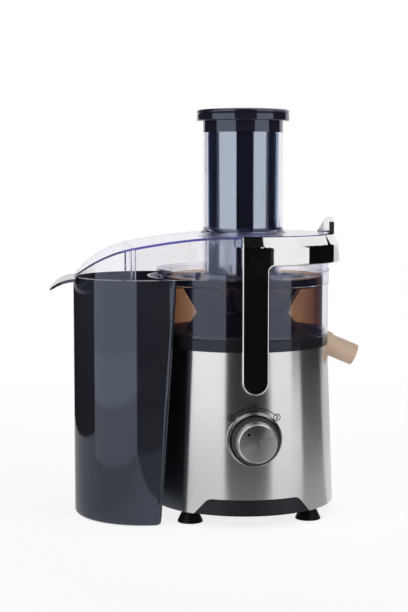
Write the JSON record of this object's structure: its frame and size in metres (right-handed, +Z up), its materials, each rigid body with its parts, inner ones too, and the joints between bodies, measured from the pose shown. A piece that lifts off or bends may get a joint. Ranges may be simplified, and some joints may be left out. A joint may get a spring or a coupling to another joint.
{
  "type": "electric juicer",
  "caption": "Centrifugal juicer: steel motor base, smoked bowl with spout, clear lid with feed chute and pusher, standing pulp container, chrome locking arm and dial.",
  "frame": {"origin": "on the drive axis at the level of the counter", "axes": "+Z up along the drive axis, -Y towards the user and the dial, +X towards the juice spout, -X towards the pulp container"},
  "size_m": [0.3131, 0.2106, 0.406],
  "materials": {
    "brushed_shell": "brushed round the body",
    "base_plastic": "moulded, fine texture",
    "rubber": "matt",
    "black_plastic": "smooth",
    "plain_steel": "turned",
    "board_green": "lacquered",
    "smoke_brown": "clear smoked plastic",
    "smoke_floor": "deep smoke-brown plastic",
    "smoke_beige": "clear tinted plastic",
    "clear": "clear plastic",
    "charcoal_gloss": "smooth",
    "container_gloss": "polished",
    "chrome": "plated",
    "white_plastic": "moulded",
    "satin_ring": "satin",
    "knob_black": "fluted",
    "spun_metal": "spun in rings",
    "cast_metal": "as cast",
    "laminations": "stacked sheet",
    "copper": "lacquered wire",
    "carbon": "pressed",
    "basket_dark": "smooth",
    "sieve_steel": "etched"
  },
  "bodies": {
    "base": {"steel_shell": "brushed_shell", "base_plate": "base_plastic", "suction_feet": "rubber", "motor_deck": "black_plastic", "base_screws": "plain_steel", "cord_gland": "rubber", "deck_turret": "black_plastic", "deck_columns": "black_plastic", "pivot_blocks": "black_plastic", "control_board": "board_green", "juice_bowl": "clear", "bowl_liner": "smoke_brown", "bowl_floor": "smoke_floor", "bowl_drain": "smoke_beige", "juice_spout": "smoke_beige", "pivot_bushes": "black_plastic", "interlock_switch": "black_plastic", "dial_bezel": "satin_ring", "rotary_switch": "white_plastic", "switch_nut": "plain_steel", "rubber_dampers": "rubber", "lower_bracket": "cast_metal", "upper_bracket": "cast_metal", "lower_bearing": "plain_steel", "upper_bearing": "plain_steel", "motor_bolts": "plain_steel", "stator_core": "laminations", "field_coils": "copper", "carbon_brushes": "carbon", "brush_holders": "white_plastic", "shaft_seal": "rubber"},
    "lid": {"lid_cover": "clear", "feed_chute": "clear"},
    "pusher": {"pusher_body": "charcoal_gloss", "pusher_cap": "charcoal_gloss"},
    "arm": {"locking_arm": "chrome", "arm_pivot_pins": "plain_steel", "interlock_cam": "white_plastic"},
    "plunger": {"switch_plunger": "white_plastic"},
    "dial": {"knob_skirt": "knob_black", "knob_cap": "spun_metal", "knob_spindle": "plain_steel"},
    "drive": {"motor_shaft": "plain_steel", "cooling_fan": "white_plastic", "rotor_core": "laminations", "rotor_windings": "copper", "commutator": "copper", "drive_coupling": "black_plastic", "basket_frame": "basket_dark", "filter_mesh": "sieve_steel", "grater_disc": "sieve_steel"},
    "container": {"pulp_container": "container_gloss"}
  },
  "joints": [
    {"name": "lid_lift", "type": "slide", "parent": "base", "child": "lid", "axis": [0, 0, 1], "range_m": [0, 0.07]},
    {"name": "pusher_slide", "type": "slide", "parent": "lid", "child": "pusher", "axis": [0, 0, 1], "range_m": [0, 0.15]},
    {"name": "arm_swing", "type": "hinge", "parent": "base", "child": "arm", "pos_m": [0, 0, 0.143], "axis": [0, 1, 0], "range_deg": [0, 85]},
    {"name": "plunger_slide", "type": "slide", "parent": "base", "child": "plunger", "axis": [0, 0, 1], "range_m": [-0.003, 0]},
    {"name": "knob_turn", "type": "hinge", "parent": "base", "child": "dial", "pos_m": [0, 0, 0.0867], "axis": [0, 1, 0], "range_deg": [0, 90]},
    {"name": "motor_spin", "type": "hinge", "parent": "base", "child": "drive", "pos_m": [0, 0, 0], "axis": [0, 0, 1], "continuous": true},
    {"name": "container_slide", "type": "slide", "parent": "base", "child": "container", "axis": [-1, 0, 0], "range_m": [0, 0.12]}
  ],
  "couplings": [
    {"joint": "plunger_slide", "follows": "arm_swing", "m_per_rad": -0.00202}
  ]
}
